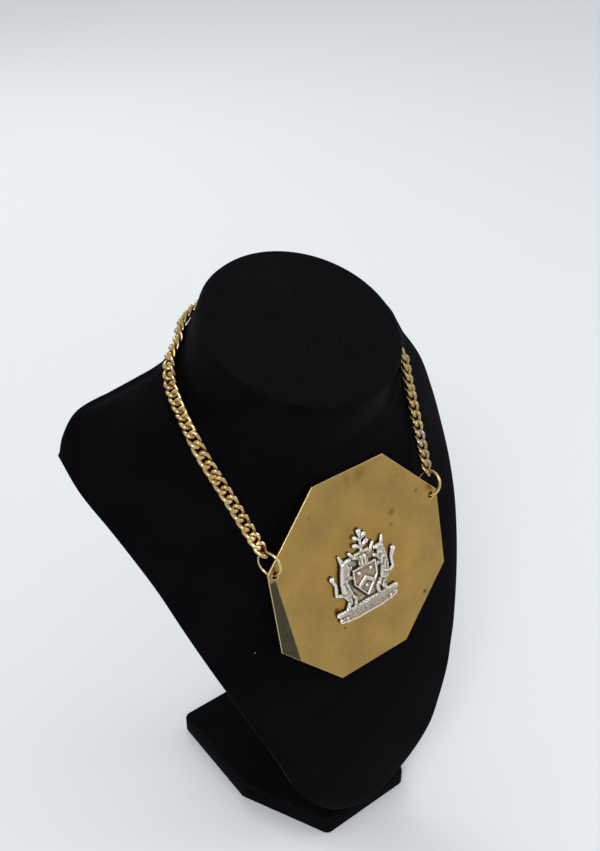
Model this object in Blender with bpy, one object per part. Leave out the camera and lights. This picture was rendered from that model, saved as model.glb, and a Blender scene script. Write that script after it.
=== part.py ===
"""A gorget shown on its neck bust.

An eight-sided brass plate carries a cast silver coat of arms. Two brass rings join its upper corners to
a curb chain that runs once round the neck of a velvet-covered display form, which stands on a flat
base. Metres, +Z up. The front faces -Y, +X is to the right as seen from the front, and the origin lies
on the floor under the base.
"""

import math

import bmesh
import bpy
import numpy as np
from mathutils import Matrix, Vector
from mathutils.bvhtree import BVHTree

GAP = 0.0003  # between two pieces that touch

# Base: a slab with straight sides, whose front corners are cut off.
BASE_THICKNESS = 0.012
BASE_WIDTH = 0.109
BASE_FRONT_WIDTH = 0.0588
BASE_BACK = 0.053  # back edge behind the origin
BASE_SIDE_FRONT = 0.0135  # front end of the straight sides, ahead of the origin
BASE_FRONT = 0.0652
BASE_CORNER = 0.004
BASE_EDGE = 0.0015
BASE_CORNER_STEPS = 3

# Display form: chest, shoulders and neck in one closed body with a plain back.
FORM_HEIGHT = 0.2352  # foot to the rear corners of the shoulders
FORM_DEPTH = 0.117  # foremost chest to the shoulders' rim
FORM_OVERHANG = 0.0052  # chest ahead of the base's front edge
SHOULDER_WIDTH = 0.2244
RIM_THICKNESS = 0.009
NECK_WIDTH = 0.0984
NECK_DEPTH = 0.0946
NECK_SET_BACK = 0.0689  # neck's axis behind the foremost chest
NECK_TOP = 0.0569  # middle of the neck's top above the shoulders' corners
NECK_SLOPE = 0.382  # fall of the neck's top towards the front, as rise over run
NECK_EDGE = 0.0022
NECK_LEAN = 0.42  # how far the neck's wall steps back for each metre that it goes down
SIDE_TURN = 0.5  # share of a half section's way round at which the neck's side lies
RIM_TURN = 0.8  # share at which the chest's rim, or the neck's ridge, lies
RIM_POWER = 0.4  # power that rounds the chest from its rim to its flat back
LEVEL_POWER = 3  # power with which a section's back tilts up to the slope of the neck's top
EDGE_TURNS = (0.35, 0.7, 1.0)  # shares of a quarter turn at which the neck's top edge has rings
FRONT_STEPS = 9
BACK_STEPS = 3
ROW_STEPS = 2  # sections for each row of the two tables below

# Chest sections from the foot up. Height is a share of FORM_HEIGHT, half width of SHOULDER_WIDTH / 2,
# rim and front are shares of FORM_DEPTH behind the foremost chest. Fullness is the power with which the
# front curves away from its middle, and fall the power with which it meets the rim.
CHEST_COLUMNS = ("height", "half_width", "rim", "front", "fullness", "fall")
CHEST_SECTIONS = (
    (0.000, 0.099, 0.105, 0.027, 2.4, 1.6),
    (0.012, 0.158, 0.066, 0.010, 2.4, 1.5),
    (0.034, 0.205, 0.034, 0.003, 2.4, 1.4),
    (0.077, 0.284, 0.017, 0.000, 2.4, 1.3),
    (0.149, 0.394, 0.013, 0.001, 2.4, 1.3),
    (0.218, 0.475, 0.036, 0.007, 2.4, 1.3),
    (0.300, 0.534, 0.055, 0.016, 2.4, 1.3),
    (0.358, 0.575, 0.084, 0.027, 2.4, 1.25),
    (0.417, 0.621, 0.120, 0.041, 2.4, 1.2),
    (0.520, 0.696, 0.199, 0.075, 2.3, 1.2),
    (0.609, 0.759, 0.281, 0.114, 2.2, 1.15),
    (0.690, 0.811, 0.367, 0.156, 2.1, 1.1),
    (0.766, 0.854, 0.466, 0.194, 2.0, 1.1),
    (0.830, 0.897, 0.579, 0.223, 2.0, 1.1),
    (0.887, 0.939, 0.697, 0.254, 2.0, 1.1),
    (0.942, 0.980, 0.840, 0.282, 2.0, 1.1),
    (0.988, 0.981, 1.003, 0.292, 2.0, 1.1),
)

# Shoulder and neck sections. Blend goes from the last chest outline, 0, to the neck's own, 1. The others
# are drops below the plane of the neck's top, at the front, side and ridge, as shares of NECK_TOP.
NECK_COLUMNS = ("blend", "front", "side", "ridge")
NECK_SECTIONS = (
    (0.00, 0.700, 0.991, 1.336),
    (0.05, 0.686, 0.960, 1.143),
    (0.15, 0.659, 0.840, 0.980),
    (0.30, 0.614, 0.700, 0.962),
    (0.50, 0.560, 0.668, 0.945),
    (0.65, 0.497, 0.650, 0.925),
    (0.78, 0.425, 0.636, 0.850),
    (0.90, 0.318, 0.596, 0.560),
    (0.97, 0.192, 0.488, 0.305),
    (1.00, 0.000, 0.000, 0.000),
)

# Post behind the chest, hidden from the front.
POST_WIDTH = 0.030
POST_DEPTH = 0.014
POST_BACK = 0.019  # its rear face behind the origin

# Plate: eight sides, a hole in each upper side corner.
PLATE_WIDTH = 0.110
PLATE_HEIGHT = 0.112
PLATE_FLAT = 0.0446  # length of its top, bottom and upright sides
PLATE_THICKNESS = 0.0012
PLATE_LEAN = math.radians(14.09)
PLATE_CENTRE_HEIGHT = 0.1842
HOLE_DIAMETER = 0.0036
HOLE_INSET = 0.0042  # from the upright side
HOLE_DROP = 0.0020  # below the side corner
HOLE_SIDES = 16

# Rings through the holes.
RING_DIAMETER = 0.0129  # to the middle of the wire
RING_WIRE = 0.0014
RING_STEPS = 16
RING_SIDES = 6
# Each ring's pull, from its hole to the chain, and its face's direction, as right, back and up. Then the
# direction that the links near it face, and the number of links over which the chain turns there.
RING_COLUMNS = ("name", "side", "pull", "face", "look", "links")
RINGS = (
    ("ring_left", -1, (-0.12, 0.50, 0.86), (0.946, 0.318, -0.058), (-0.15, -0.76, 0.63), 20),
    ("ring_right", 1, (0.24, 0.52, 0.82), (0.874, 0.222, -0.432), (-0.20, -0.76, 0.62), 14),
)

# Curb chain. Each link hooks the next at its end, where the two are fused by a small bite.
LINK_WIDTH = 0.0072
LINK_WIRE = 0.0020
LINK_PITCH = 0.0053
LINK_BITE = 0.00012
LINK_TWIST = 0.00118  # how far each quarter of a link rises or dips
LINK_STEPS = 10
LINK_SIDES = 5
TURN_AT_RING = 1.0  # how far the last joint turns from its row's look to the ring's own wire
JOINTS_TURNED = 6  # joints over which that turn fades
ROUTE_STEPS = 24
# The chain's right half from its ring to the middle of the neck's back, as right, back and up.
CHAIN_ROUTE = (
    (0.0546, -0.0357, 0.2211),
    (0.0585, -0.0231, 0.2379),
    (0.0628, -0.0108, 0.2548),
    (0.0647, -0.0045, 0.2641),
    (0.0626, 0.0074, 0.2689),
    (0.0608, 0.0143, 0.2704),
    (0.0592, 0.0203, 0.2727),
    (0.0560, 0.0300, 0.2765),
    (0.0505, 0.0384, 0.2840),
    (0.0440, 0.0425, 0.2880),
    (0.0370, 0.0465, 0.2905),
    (0.0240, 0.0515, 0.2930),
    (0.0000, 0.0550, 0.2940),
)

# Coat of arms: a cast relief with a flat back. Each row is a limb of balls, each with its place across
# and up from the middle and its radius, as shares of ARMS_HEIGHT. The sides are mirrored.
ARMS_HEIGHT = 0.051
ARMS_DROP = 0.0017  # its middle below the plate's middle
ARMS_SLAB = 0.0009  # relief that every limb has
ARMS_FULLNESS = 0.75  # further relief for each metre of a ball's radius
ARMS_SIDES = 6
ARMS_COLUMNS = ("across", "up", "radius")
ARMS_MIDDLE = (
    ((0.0, 0.130, 0.062), (0.0, 0.165, 0.058)),
    ((-0.075, 0.225, 0.020), (0.075, 0.225, 0.020)),
    ((0.0, 0.225, 0.022), (0.0, 0.400, 0.018), (0.0, 0.465, 0.032)),
)
ARMS_SHIELD = (
    (-0.130, 0.070, 0.022),
    (0.130, 0.070, 0.022),
    (0.130, -0.070, 0.022),
    (0.0, -0.245, 0.022),
    (-0.130, -0.070, 0.022),
)
ARMS_SIDE = (
    ((0.0, -0.035, 0.024), (0.100, -0.115, 0.022)),
    ((0.006, 0.290, 0.018), (0.075, 0.330, 0.028)),
    ((0.006, 0.370, 0.016), (0.062, 0.415, 0.026)),
    ((0.055, 0.190, 0.026), (0.115, 0.215, 0.026), (0.150, 0.275, 0.020)),
    ((0.245, -0.130, 0.064), (0.262, -0.020, 0.054), (0.240, 0.085, 0.064), (0.232, 0.175, 0.050)),
    ((0.235, 0.195, 0.046), (0.165, 0.210, 0.027)),
    ((0.255, 0.225, 0.027), (0.278, 0.295, 0.014)),
    ((0.225, 0.095, 0.036), (0.155, 0.120, 0.022)),
    ((0.225, 0.035, 0.034), (0.150, 0.005, 0.022)),
    ((0.255, -0.150, 0.048), (0.210, -0.235, 0.028), (0.255, -0.320, 0.028)),
    ((0.235, -0.130, 0.040), (0.145, -0.235, 0.024), (0.155, -0.330, 0.024)),
    ((0.285, -0.140, 0.026), (0.368, -0.110, 0.020), (0.360, 0.010, 0.020), (0.395, 0.095, 0.032)),
    ((0.0, -0.350, 0.050), (0.200, -0.355, 0.046), (0.365, -0.335, 0.036)),
    ((0.0, -0.430, 0.036), (0.180, -0.432, 0.034), (0.350, -0.405, 0.030)),
)
# Thin metal that fills the space between the limbs: half its outline from the top down, as shares.
ARMS_WEB_RELIEF = 0.0006
ARMS_WEB = ((0.105, 0.250), (0.175, 0.150), (0.235, 0.0), (0.215, -0.200), (0.250, -0.330))
# One squashed ball from below the relief's back to its crown: shares of the relief and of the radius.
ARMS_BALL_COLUMNS = ("rise", "spread")
ARMS_BALL = ((-0.5, 0.9), (0.0, 1.0), (0.62, 0.72), (1.0, 0.25))

COLOURS = {
    "black_velvet": ((0.006, 0.006, 0.007), 0.95, 0.0),
    "polished_brass": ((0.44, 0.29, 0.09), 0.32, 1.0),
    "gilt_chain": ((0.55, 0.37, 0.13), 0.30, 1.0),
    "cast_silver": ((0.62, 0.60, 0.58), 0.28, 1.0),
    "dark_wood": ((0.02, 0.018, 0.018), 0.8, 0.0),
}

FRONT_Y = -(BASE_FRONT + FORM_OVERHANG)
FOOT_Z = BASE_THICKNESS + GAP
SHOULDER_Z = FOOT_Z + FORM_HEIGHT


def material(name):
    """One Principled material with the colour, roughness and metallic value of its row in COLOURS."""
    made = bpy.data.materials.get(name) or bpy.data.materials.new(name)
    made.use_nodes = True
    colour, roughness, metallic = COLOURS[name]
    shader = made.node_tree.nodes["Principled BSDF"]
    shader.inputs["Base Color"].default_value = (*colour, 1)
    shader.inputs["Roughness"].default_value = roughness
    shader.inputs["Metallic"].default_value = metallic
    made.diffuse_color = (*colour, 1)
    return made


def new_object(name, finish, shape, smooth=30):
    """An object in the scene with a bmesh as its mesh. Smooth is the widest angle that stays unsharp."""
    bmesh.ops.recalc_face_normals(shape, faces=shape.faces)
    mesh = bpy.data.meshes.new(name)
    shape.to_mesh(mesh)
    shape.free()
    mesh.materials.append(material(finish))
    mesh.shade_smooth()
    mesh.set_sharp_from_angle(angle=math.radians(smooth))
    made = bpy.data.objects.new(name, mesh)
    bpy.context.scene.collection.objects.link(made)
    return made


def spline(points, steps):
    """Points on a smooth curve through the given ones, with this many steps between each pair."""
    points = np.asarray(points, float)
    ends = np.vstack([2 * points[0] - points[1], points, 2 * points[-1] - points[-2]])
    a, b, c, d = ends[:-3, None], ends[1:-2, None], ends[2:-1, None], ends[3:, None]
    t = (np.arange(steps) / steps)[None, :, None]
    curve = b + 0.5 * t * (c - a + t * (2 * a - 5 * b + 4 * c - d + t * (3 * (b - c) + d - a)))
    return np.vstack([curve.reshape(-1, points.shape[1]), points[-1:]])


def combine(target, other, operation, self_join=False):
    """Joins or cuts a target with another object, which stays as a hidden guide."""
    other.hide_render = True
    other.display_type = "WIRE"
    step = target.modifiers.new(other.name, "BOOLEAN")
    step.operation = operation
    step.use_self = self_join
    step.object = other


def prism(outline, low, high):
    """A bmesh of an outline in X and Y, raised from the height low to the height high."""
    shape = bmesh.new()
    face = shape.faces.new([shape.verts.new((x, y, low)) for x, y in outline])
    raised = bmesh.ops.extrude_face_region(shape, geom=[face])["geom"]
    moved = [item for item in raised if isinstance(item, bmesh.types.BMVert)]
    bmesh.ops.translate(shape, verts=moved, vec=(0, 0, high - low))
    bmesh.ops.recalc_face_normals(shape, faces=shape.faces)
    return shape


def loft(rings):
    """A closed bmesh through rings of equally many points, with a flat cap on each end."""
    shape = bmesh.new()
    loops = [[shape.verts.new(point) for point in ring] for ring in rings]
    for lower, upper in zip(loops, loops[1:]):
        for index in range(len(lower)):
            following = (index + 1) % len(lower)
            shape.faces.new((lower[index], lower[following], upper[following], upper[index]))
    shape.faces.new(loops[0])
    shape.faces.new(loops[-1])
    bmesh.ops.recalc_face_normals(shape, faces=shape.faces)
    return shape


def half_turns():
    """Ways round half a section, from 0 at the front's middle to 1 at the back's middle."""
    front = np.linspace(0, RIM_TURN, FRONT_STEPS + 1)
    back = np.linspace(RIM_TURN, 1, BACK_STEPS + 1)
    return np.append(front, back[1:])


def chest_outline(half_width, rim, front, fullness, fall):
    """Half a chest section from the front's middle to the back's: a full front curve and a flat back."""
    turns = half_turns()
    across = np.sin(np.minimum(turns / RIM_TURN, 1) * math.pi / 2)
    behind = np.maximum(turns - RIM_TURN, 0) / (1 - RIM_TURN) * math.pi / 2
    bulge = (1 - across**fullness) ** (1 / fall)
    x = half_width * np.where(behind > 0, np.cos(behind) ** RIM_POWER, across)
    y = rim - (rim - front) * bulge + RIM_THICKNESS * np.sin(behind) ** RIM_POWER
    return np.stack([x, y], axis=1)


def neck_outline():
    """Half an oval section of the neck, from the front's middle to the back's."""
    angles = half_turns() * math.pi
    x = NECK_WIDTH / 2 * np.sin(angles)
    y = FRONT_Y + NECK_SET_BACK - NECK_DEPTH / 2 * np.cos(angles)
    return np.stack([x, y], axis=1)


def chest_row(row):
    """A chest section's half width, rim, front and powers in metres, from a row of shares."""
    named = dict(zip(CHEST_COLUMNS, row))
    return (
        named["half_width"] * SHOULDER_WIDTH / 2,
        FRONT_Y + named["rim"] * FORM_DEPTH,
        FRONT_Y + named["front"] * FORM_DEPTH,
        named["fullness"],
        named["fall"],
    )


def section_drop(front, side, ridge):
    """Drops round a half section: an even curve of the fourth order through its front, side and ridge."""
    known = [[SIDE_TURN**2, SIDE_TURN**4], [RIM_TURN**2, RIM_TURN**4]]
    second, fourth = np.linalg.solve(known, [side - front, ridge - front])
    turns = half_turns()
    return NECK_TOP * (front + second * turns**2 + fourth * turns**4)


def form_sections():
    """Half sections of the whole form from the foot to the neck's top, each an array of x, y and z."""
    sections = []
    for row in spline(CHEST_SECTIONS, ROW_STEPS):
        outline = chest_outline(*chest_row(row))
        height = np.full(len(outline), FOOT_Z + row[0] * FORM_HEIGHT)
        sections.append(np.column_stack([outline, height]))
    chest = chest_outline(*chest_row(CHEST_SECTIONS[-1]))
    neck = neck_outline()
    plane = SHOULDER_Z + NECK_TOP + NECK_SLOPE * (neck[:, 1] - FRONT_Y - NECK_SET_BACK)
    behind = slice(FRONT_STEPS + 1, None)
    for row in spline(NECK_SECTIONS, ROW_STEPS)[1:]:
        named = dict(zip(NECK_COLUMNS, row))
        blend = named["blend"]
        height = plane - section_drop(named["front"], named["side"], named["ridge"])
        tilt = blend**LEVEL_POWER * (plane[behind] - plane[FRONT_STEPS])
        height[behind] = height[FRONT_STEPS] + tilt
        outline = (1 - blend) * chest + blend * neck
        outline[:, 1] += blend * NECK_LEAN * np.maximum(plane - height, 0)
        sections.append(np.column_stack([outline, height]))
    return sections


def whole_ring(half):
    """A closed ring from a half section and its mirror image."""
    return np.vstack([half, half[-2:0:-1] * (-1, 1, 1)])


def form_shape():
    """The display form, with the neck's top edge rounded by two smaller rings."""
    sections = form_sections()
    top = sections[-1]
    middle = np.array([0, FRONT_Y + NECK_SET_BACK, SHOULDER_Z + NECK_TOP])
    edge = []
    for turn in EDGE_TURNS:
        angle = turn * math.pi / 2
        inset = NECK_EDGE * (1 - math.cos(angle)) / (NECK_WIDTH / 2)
        ring = middle + (top - middle) * (1 - inset)
        edge.append(ring + (0, 0, NECK_EDGE * (math.sin(angle) - 1)))
    sections[-1:] = [top - (0, 0, NECK_EDGE)] + edge
    return loft([whole_ring(half) for half in sections])


def front_of_chest(x, z):
    """The chest's front at a height, at a distance from its middle."""
    rows = spline(CHEST_SECTIONS, ROW_STEPS)
    heights = FOOT_Z + rows[:, 0] * FORM_HEIGHT
    row = [np.interp(z, heights, rows[:, column]) for column in range(rows.shape[1])]
    half_width, rim, front, fullness, fall = chest_row(row)
    share = min(abs(x) / half_width, 1)
    return rim - (rim - front) * (1 - share**fullness) ** (1 / fall)


def back_of_chest():
    """Heights and depths of the chest's flat back, from the foot up."""
    rows = spline(CHEST_SECTIONS, ROW_STEPS)
    heights = FOOT_Z + rows[:, 0] * FORM_HEIGHT
    return heights, FRONT_Y + rows[:, 2] * FORM_DEPTH + RIM_THICKNESS


def make_form():
    return new_object("neck_form", "black_velvet", form_shape(), smooth=50)


def round_edges(shape, edges, width, steps):
    """Bevels some edges of a bmesh with a round or, in one step, a flat profile."""
    bmesh.ops.bevel(shape, geom=edges, offset=width, segments=steps, profile=0.5, affect="EDGES")


def make_base():
    """The slab, with rounded upright corners and a small bevel along its top edge."""
    half, front = BASE_WIDTH / 2, BASE_FRONT_WIDTH / 2
    right = [(front, -BASE_FRONT), (half, -BASE_SIDE_FRONT), (half, BASE_BACK)]
    outline = right + [(-x, y) for x, y in reversed(right)]
    shape = prism(outline, 0, BASE_THICKNESS)
    upright = [edge for edge in shape.edges if abs(edge.verts[0].co.z - edge.verts[1].co.z) > GAP]
    round_edges(shape, upright, BASE_CORNER, BASE_CORNER_STEPS)
    top = [edge for edge in shape.edges if min(vert.co.z for vert in edge.verts) > BASE_THICKNESS - GAP]
    round_edges(shape, top, BASE_EDGE, 1)
    return new_object("base", "black_velvet", shape)


def make_post():
    """A plain post from the base to the chest's sloping back, whose top follows that slope."""
    heights, depths = back_of_chest()
    front, back = POST_BACK - POST_DEPTH, POST_BACK
    bottom = BASE_THICKNESS + GAP
    inner = [(y, z) for y, z in zip(depths, heights) if front < y < back]
    path = [(front, np.interp(front, depths, heights)), *inner, (back, np.interp(back, depths, heights))]
    side = [(front, bottom)] + [(y, z - 2 * GAP) for y, z in path] + [(back, bottom)]
    shape = prism(side, -POST_WIDTH / 2, POST_WIDTH / 2)
    turn = Matrix(((0, 0, 1), (1, 0, 0), (0, 1, 0))).to_4x4()
    bmesh.ops.transform(shape, matrix=turn, verts=shape.verts)
    return new_object("stand_post", "dark_wood", shape)


def plate_frame():
    """The plate's middle, and its right, up and outward directions."""
    right = Vector((1, 0, 0))
    up = Vector((0, math.sin(PLATE_LEAN), math.cos(PLATE_LEAN)))
    out = right.cross(up)
    nearest = min(
        front_of_chest(x * PLATE_WIDTH / 2, PLATE_CENTRE_HEIGHT + v * up.z * PLATE_HEIGHT / 2)
        - v * up.y * PLATE_HEIGHT / 2
        for v in np.linspace(-1, 1, 41)
        for x in np.linspace(0, 1 if abs(v) < PLATE_FLAT / PLATE_HEIGHT else PLATE_FLAT / PLATE_WIDTH, 5)
    )
    stand_off = (PLATE_THICKNESS / 2 + GAP) / math.cos(PLATE_LEAN)
    return Vector((0, nearest - stand_off, PLATE_CENTRE_HEIGHT)), right, up, out


def plate_place(u=0.0, v=0.0, w=0.0):
    """The matrix that sets a shape on the plate, moved to the right, up and outward from its middle."""
    middle, right, up, out = plate_frame()
    turn = Matrix((right, up, out)).transposed().to_4x4()
    return Matrix.Translation(middle + right * u + up * v + out * w) @ turn


def hole_place(side):
    return side * (PLATE_WIDTH / 2 - HOLE_INSET), PLATE_FLAT / 2 - HOLE_DROP


def make_plate():
    """The eight-sided plate. Each hole is cut by a round prism."""
    wide, tall, flat = PLATE_WIDTH / 2, PLATE_HEIGHT / 2, PLATE_FLAT / 2
    quarter = [(wide, flat), (flat, tall)]
    outline = quarter + [(-x, y) for x, y in reversed(quarter)]
    outline += [(-x, -y) for x, y in outline]
    place = plate_place()
    slab = prism(outline, -PLATE_THICKNESS / 2, PLATE_THICKNESS / 2)
    plate = new_object("gorget_plate", "polished_brass", slab)
    angles = np.linspace(0, 2 * math.pi, HOLE_SIDES, endpoint=False)
    circle = HOLE_DIAMETER / 2 * np.column_stack([np.cos(angles), np.sin(angles)])
    for side in (-1, 1):
        drill = prism(circle + hole_place(side), -PLATE_THICKNESS, PLATE_THICKNESS)
        cutter = new_object("hole_cutter", "polished_brass", drill)
        cutter.matrix_world = place
        combine(plate, cutter, "DIFFERENCE")
    plate.matrix_world = place
    return plate


def wire_loop(centres, wire, sides, across):
    """A closed tube of round wire along a loop of centres. Across is the loop's own upward direction."""
    centres = np.asarray(centres)
    along = np.roll(centres, -1, axis=0) - np.roll(centres, 1, axis=0)
    along /= np.linalg.norm(along, axis=1, keepdims=True)
    outward = np.cross(along, across)
    outward /= np.linalg.norm(outward, axis=1, keepdims=True)
    upward = np.cross(outward, along)
    shape = bmesh.new()
    angles = math.pi + np.linspace(0, 2 * math.pi, sides, endpoint=False)
    loops = []
    for centre, out, up in zip(centres, outward, upward):
        ring = [centre + wire / 2 * (math.cos(a) * out + math.sin(a) * up) for a in angles]
        loops.append([shape.verts.new(point) for point in ring])
    for near, far in zip(loops, loops[1:] + loops[:1]):
        for index in range(sides):
            following = (index + 1) % sides
            shape.faces.new((near[index], near[following], far[following], far[index]))
    bmesh.ops.recalc_face_normals(shape, faces=shape.faces)
    return shape


def ring_frame(row):
    """A ring's middle, its pull direction and its face direction."""
    named = dict(zip(RING_COLUMNS, row))
    pull = Vector(named["pull"]).normalized()
    face = Vector(named["face"])
    face = (face - pull * face.dot(pull)).normalized()
    u, v = hole_place(named["side"])
    return plate_place(u, v).translation + pull * RING_DIAMETER / 2, pull, face


def make_ring(row):
    """A round ring whose wire passes through its hole in the plate."""
    middle, pull, face = (np.array(vector) for vector in ring_frame(row))
    aside = np.cross(face, pull)
    angles = np.linspace(0, 2 * math.pi, RING_STEPS, endpoint=False)[:, None]
    centres = middle + RING_DIAMETER / 2 * (np.cos(angles) * pull + np.sin(angles) * aside)
    return new_object(row[0], "gilt_chain", wire_loop(centres, RING_WIRE, RING_SIDES, face), smooth=60)


def chain_end(row):
    """Where the chain hangs from a ring, and the way the ring's wire runs there."""
    middle, pull, face = ring_frame(row)
    contact = middle + pull * (RING_DIAMETER / 2 - RING_WIRE / 2 - LINK_BITE / 2 - GAP)
    return np.array(contact), np.array(face.cross(pull))


def turn_to_ring(normals, row):
    """Turns the chain's outward directions, from its end at a ring, to the look of the ring's row."""
    named = dict(zip(RING_COLUMNS, row))
    wire = chain_end(row)[1]
    wire = wire * np.sign(wire @ normals[0])
    for count in range(named["links"]):
        turned = TURN_AT_RING * max(1 - count / JOINTS_TURNED, 0)
        aim = turned * wire + (1 - turned) * np.array(named["look"])
        normals[count] += (1 - count / named["links"]) * (aim - normals[count])


def chain_route(form):
    """Evenly spaced joints of the chain and the outward direction at each, held clear of the form."""
    tree = BVHTree.FromPolygons(
        [vert.co for vert in form.data.vertices], [face.vertices for face in form.data.polygons]
    )
    right = np.array(CHAIN_ROUTE)
    left = right[::-1][1:] * (-1, 1, 1)
    left_ring, right_ring = RINGS
    ends = [chain_end(row)[0] for row in (right_ring, left_ring)]
    whole = spline(np.vstack([ends[0], right, left, ends[1]]), ROUTE_STEPS)
    lift = LINK_TWIST + LINK_WIRE / 2 + GAP
    outward = []
    for index, point in enumerate(whole):
        near, normal, _, distance = tree.find_nearest(Vector(point))
        outside = (Vector(point) - near).dot(normal) > 0
        height = distance if outside else -distance
        if height < lift:
            whole[index] = near + normal * lift
        outward.append(normal)
    outward = np.array(outward)
    half = ROUTE_STEPS // 2
    outward = np.array([outward[max(i - half, 0) : i + half + 1].mean(axis=0) for i in range(len(whole))])
    run = np.append(0, np.cumsum(np.linalg.norm(np.diff(whole, axis=0), axis=1)))
    marks = np.linspace(0, run[-1], round(run[-1] / LINK_PITCH) + 1)
    joints = np.column_stack([np.interp(marks, run, whole[:, axis]) for axis in range(3)])
    normals = np.column_stack([np.interp(marks, run, outward[:, axis]) for axis in range(3)])
    normals /= np.linalg.norm(normals, axis=1, keepdims=True)
    turn_to_ring(normals, right_ring)
    turn_to_ring(normals[::-1], left_ring)
    return joints, normals


def link_shape(near, far, normal):
    """One curb link between two joints: an oval of wire whose quarters rise and dip in turn."""
    along = (far - near) / np.linalg.norm(far - near)
    aside = np.cross(normal, along)
    aside /= np.linalg.norm(aside)
    up = np.cross(along, aside)
    angles = np.linspace(0, 2 * math.pi, LINK_STEPS, endpoint=False)[:, None]
    pitch = np.linalg.norm(far - near)
    reach, spread = (pitch + LINK_WIRE - LINK_BITE) / 2, (LINK_WIDTH - LINK_WIRE) / 2
    centres = (near + far) / 2 + reach * np.cos(angles) * along
    centres = centres + spread * np.sin(angles) * aside - LINK_TWIST * np.sin(2 * angles) * up
    shape = wire_loop(centres, LINK_WIRE, LINK_SIDES, up)
    bmesh.ops.triangulate(shape, faces=shape.faces)  # flat faces, which the union cuts cleanly
    return shape


def joined(name, finish, shapes):
    """One object that holds several closed shapes."""
    whole = bmesh.new()
    for shape in shapes:
        mesh = bpy.data.meshes.new("piece")
        shape.to_mesh(mesh)
        shape.free()
        whole.from_mesh(mesh)
        bpy.data.meshes.remove(mesh)
    return new_object(name, finish, whole, smooth=60)


def make_chain(form):
    """The curb chain from ring to ring round the neck: every second link is joined to those between."""
    joints, normals = chain_route(form)
    links = []
    for index in range(len(joints) - 1):
        links.append(link_shape(joints[index], joints[index + 1], normals[index] + normals[index + 1]))
    chain = joined("chain", "gilt_chain", links[::2])
    between = joined("chain_between", "gilt_chain", links[1::2])
    combine(chain, between, "UNION")
    return chain


def arms_ball(row, side):
    """The corners of one squashed ball of the relief, which dips below the relief's back."""
    ball = {column: share * ARMS_HEIGHT for column, share in zip(ARMS_COLUMNS, row)}
    relief = ARMS_SLAB + ARMS_FULLNESS * ball["radius"]
    corners = []
    for level in ARMS_BALL:
        named = dict(zip(ARMS_BALL_COLUMNS, level))
        spread = named["spread"] * ball["radius"]
        for angle in np.linspace(0, 2 * math.pi, ARMS_SIDES, endpoint=False):
            x = side * ball["across"] + spread * math.cos(angle)
            corners.append((x, ball["up"] + spread * math.sin(angle), named["rise"] * relief))
    return corners


def hull(corners):
    """A bmesh of the convex hull of a list of points."""
    shape = bmesh.new()
    made = bmesh.ops.convex_hull(shape, input=[shape.verts.new(corner) for corner in corners])
    spare = [item for item in made["geom_interior"] if isinstance(item, bmesh.types.BMVert)]
    bmesh.ops.delete(shape, geom=spare, context="VERTS")
    return shape


def make_arms():
    """The relief in one body: its limbs are joined and their backs cut off flat, in front of the plate."""
    shield = hull([corner for row in ARMS_SHIELD for corner in arms_ball(row, 1)])
    limbs = [(limb, 1) for limb in ARMS_MIDDLE]
    limbs += [(limb, side) for limb in ARMS_SIDE for side in (-1, 1)]
    lumps = []
    for limb, side in limbs:
        for near, far in zip(limb, limb[1:]):
            lumps.append(hull(arms_ball(near, side) + arms_ball(far, side)))
    web = [(x * ARMS_HEIGHT, y * ARMS_HEIGHT) for x, y in ARMS_WEB]
    web += [(-x, y) for x, y in reversed(web)]
    lumps.append(prism(web, -ARMS_SLAB, ARMS_WEB_RELIEF))
    place = plate_place(0, -ARMS_DROP, PLATE_THICKNESS / 2 + GAP)
    arms = new_object("coat_of_arms", "cast_silver", shield)
    limbs = joined("arms_limbs", "cast_silver", lumps)
    half = ARMS_HEIGHT
    slab = prism([(-half, -half), (half, -half), (half, half), (-half, half)], -half, 0)
    back = new_object("arms_back_cutter", "cast_silver", slab)
    combine(arms, limbs, "UNION", self_join=True)
    combine(arms, back, "DIFFERENCE")
    for piece in (arms, limbs, back):
        piece.matrix_world = place
    return arms


def main():
    for old in list(bpy.data.objects):
        bpy.data.objects.remove(old, do_unlink=True)
    make_base()
    form = make_form()
    make_post()
    make_plate()
    for row in RINGS:
        make_ring(row)
    make_chain(form)
    make_arms()


main()
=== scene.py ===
import math

import bmesh
import bpy
import numpy as np
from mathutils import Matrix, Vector
from mathutils.bvhtree import BVHTree


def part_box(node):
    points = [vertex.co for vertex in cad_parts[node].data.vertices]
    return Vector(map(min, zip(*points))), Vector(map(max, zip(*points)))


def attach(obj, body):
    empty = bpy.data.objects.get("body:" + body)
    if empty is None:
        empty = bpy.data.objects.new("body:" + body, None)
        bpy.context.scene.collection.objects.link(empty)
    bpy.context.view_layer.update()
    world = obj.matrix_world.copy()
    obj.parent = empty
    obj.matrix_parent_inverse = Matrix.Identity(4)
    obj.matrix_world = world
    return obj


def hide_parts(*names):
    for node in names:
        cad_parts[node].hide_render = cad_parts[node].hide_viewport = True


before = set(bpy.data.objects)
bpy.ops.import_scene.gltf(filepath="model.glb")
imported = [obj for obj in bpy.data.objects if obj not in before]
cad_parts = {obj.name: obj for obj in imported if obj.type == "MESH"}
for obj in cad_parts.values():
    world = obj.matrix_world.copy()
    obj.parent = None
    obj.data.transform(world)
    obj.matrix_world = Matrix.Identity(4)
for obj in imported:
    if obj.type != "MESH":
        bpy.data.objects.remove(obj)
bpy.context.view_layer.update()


# The base
# The bust stands on a thin board with cut-off front corners. Black velvet is drawn over it and glued
# underneath, so every edge and corner is soft and the pile catches light along the edges. That light along
# the upper edge is a painted highlight.

base_thickness = 0.012
base_corners = [
    (0.0294, -0.0652),
    (0.0545, -0.0135),
    (0.0545, 0.053),
    (-0.0545, 0.053),
    (-0.0545, -0.0135),
    (-0.0294, -0.0652),
]
base_corner_radius = 0.0045
base_edge_radius = 0.0024
base_edge_steps = 7
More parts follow.
